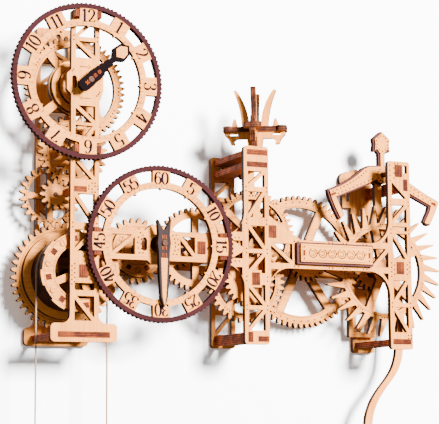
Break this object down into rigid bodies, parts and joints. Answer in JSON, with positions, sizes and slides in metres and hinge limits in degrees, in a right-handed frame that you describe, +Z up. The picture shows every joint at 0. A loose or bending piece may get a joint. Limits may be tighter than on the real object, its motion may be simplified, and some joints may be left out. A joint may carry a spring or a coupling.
{
  "type": "plywood pendulum wall clock kit",
  "caption": "Flat laser-cut plywood pendulum wall clock model with separate hours and minutes dials, exposed gear train, cord drum, escape wheel and anchor.",
  "frame": {"origin": "centre of the nail hole at the top of the back centre tower, on the face that touches the wall", "axes": "+X to the right as seen from the front, +Y towards the wall along the arbors, +Z up"},
  "size_m": [0.3595, 0.0748, 0.3784],
  "materials": {
    "birch_ply": "bare sanded birch face with laser-burnt edges",
    "stained_ply": "dark stained ply, satin",
    "tab_ply": "orange-brown edge grain, matte",
    "nameplate_ply": "bare birch, engraved",
    "hour_hand_ply": "near-black stain with a pale inlay, satin",
    "minute_hand_ply": "grey-brown stain with a pale inlay, satin",
    "inlay_ply": "bare sanded birch",
    "dowel_wood": "bare turned hardwood dowel",
    "cord": "fine twisted cotton"
  },
  "bodies": {
    "frame": {"front_left_tower": "birch_ply", "front_minute_arm": "birch_ply", "front_centre_tower": "birch_ply", "front_right_tower": "birch_ply", "back_left_tower": "birch_ply", "back_centre_tower": "birch_ply", "back_right_tower": "birch_ply", "left_ties": "tab_ply", "centre_ties": "tab_ply", "inner_hanger": "birch_ply", "right_ties": "tab_ply", "right_bracket": "birch_ply", "hours_dial_rim": "stained_ply", "hours_dial_ring": "birch_ply", "minutes_dial_rim": "stained_ply", "minutes_dial_ring": "birch_ply", "dial_posts": "tab_ply", "nameplate_frame": "stained_ply", "nameplate_panel": "nameplate_ply", "finial_front_plate": "birch_ply", "finial_side_plate": "birch_ply", "finial_cross_plate": "birch_ply", "arbor_keepers": "tab_ply", "fixed_dowels": "dowel_wood", "weight_cord": "cord", "counter_cord": "cord", "cord_hooks": "birch_ply"},
    "drum_unit": {"great_wheel": "birch_ply", "drum_barrel": "birch_ply", "drum_rear_flange": "birch_ply", "drum_front_disc": "birch_ply", "drum_screws": "birch_ply"},
    "minute_unit": {"minute_arbor": "dowel_wood", "minute_wheel": "birch_ply", "minute_ratchet_disc": "stained_ply", "minute_hub": "birch_ply", "minute_hand": "minute_hand_ply"},
    "first_unit": {"first_pinion": "birch_ply", "first_wheel": "birch_ply"},
    "second_unit": {"second_pinion": "birch_ply", "second_wheel": "birch_ply"},
    "third_unit": {"third_pinion": "birch_ply", "third_wheel": "birch_ply"},
    "ring_unit": {"ring_pinion": "birch_ply", "ring_wheel": "birch_ply"},
    "escape_unit": {"escape_pinion": "birch_ply", "escape_wheel": "birch_ply"},
    "transfer_unit": {"transfer_pinion": "birch_ply", "transfer_wheel": "birch_ply"},
    "motion_unit": {"motion_pinion": "birch_ply", "motion_wheel": "birch_ply"},
    "hour_unit": {"hour_arbor": "dowel_wood", "hour_wheel": "birch_ply", "hour_hub_discs": "birch_ply", "hour_hand": "hour_hand_ply"},
    "anchor_unit": {"anchor_plate": "stained_ply", "anchor_inlay": "inlay_ply", "anchor_arbor": "dowel_wood", "pendulum_rod": "birch_ply", "pendulum_bob": "birch_ply"}
  },
  "joints": [
    {"name": "drum_spin", "type": "hinge", "parent": "frame", "child": "drum_unit", "pos_m": [-0.13323, -0.0316, -0.08728], "axis": [0, 1, 0], "continuous": true},
    {"name": "minute_spin", "type": "hinge", "parent": "frame", "child": "minute_unit", "pos_m": [-0.0774, -0.0316, -0.0667], "axis": [0, 1, 0], "continuous": true},
    {"name": "first_spin", "type": "hinge", "parent": "frame", "child": "first_unit", "pos_m": [-0.04416, -0.0316, -0.0675], "axis": [0, 1, 0], "continuous": true},
    {"name": "second_spin", "type": "hinge", "parent": "frame", "child": "second_unit", "pos_m": [-0.00098, -0.0316, -0.08813], "axis": [0, 1, 0], "continuous": true},
    {"name": "third_spin", "type": "hinge", "parent": "frame", "child": "third_unit", "pos_m": [0.01263, -0.0316, -0.05319], "axis": [0, 1, 0], "continuous": true},
    {"name": "ring_spin", "type": "hinge", "parent": "frame", "child": "ring_unit", "pos_m": [0.05867, -0.0316, -0.06921], "axis": [0, 1, 0], "continuous": true},
    {"name": "escape_spin", "type": "hinge", "parent": "frame", "child": "escape_unit", "pos_m": [0.1203, -0.0316, -0.076], "axis": [0, 1, 0], "continuous": true},
    {"name": "transfer_spin", "type": "hinge", "parent": "frame", "child": "transfer_unit", "pos_m": [-0.14313, -0.0316, -0.03038], "axis": [0, 1, 0], "continuous": true},
    {"name": "motion_spin", "type": "hinge", "parent": "frame", "child": "motion_unit", "pos_m": [-0.12998, -0.0316, 0.00167], "axis": [0, 1, 0], "continuous": true},
    {"name": "hour_spin", "type": "hinge", "parent": "frame", "child": "hour_unit", "pos_m": [-0.1325, -0.0316, 0.045], "axis": [0, 1, 0], "continuous": true},
    {"name": "anchor_swing", "type": "hinge", "parent": "frame", "child": "anchor_unit", "pos_m": [0.1203, -0.0316, -0.0018], "axis": [0, 1, 0], "range_deg": [-2, 2]}
  ],
  "couplings": [
    {"joint": "minute_spin", "follows": "ring_spin", "ratio": 0.033333},
    {"joint": "drum_spin", "follows": "ring_spin", "ratio": -0.020635},
    {"joint": "first_spin", "follows": "ring_spin", "ratio": -0.072222},
    {"joint": "second_spin", "follows": "ring_spin", "ratio": 0.11111},
    {"joint": "third_spin", "follows": "ring_spin", "ratio": -0.44444},
    {"joint": "escape_spin", "follows": "ring_spin", "ratio": -4},
    {"joint": "transfer_spin", "follows": "ring_spin", "ratio": 0.036111},
    {"joint": "motion_spin", "follows": "ring_spin", "ratio": -0.014444},
    {"joint": "hour_spin", "follows": "ring_spin", "ratio": 0.0027778}
  ]
}
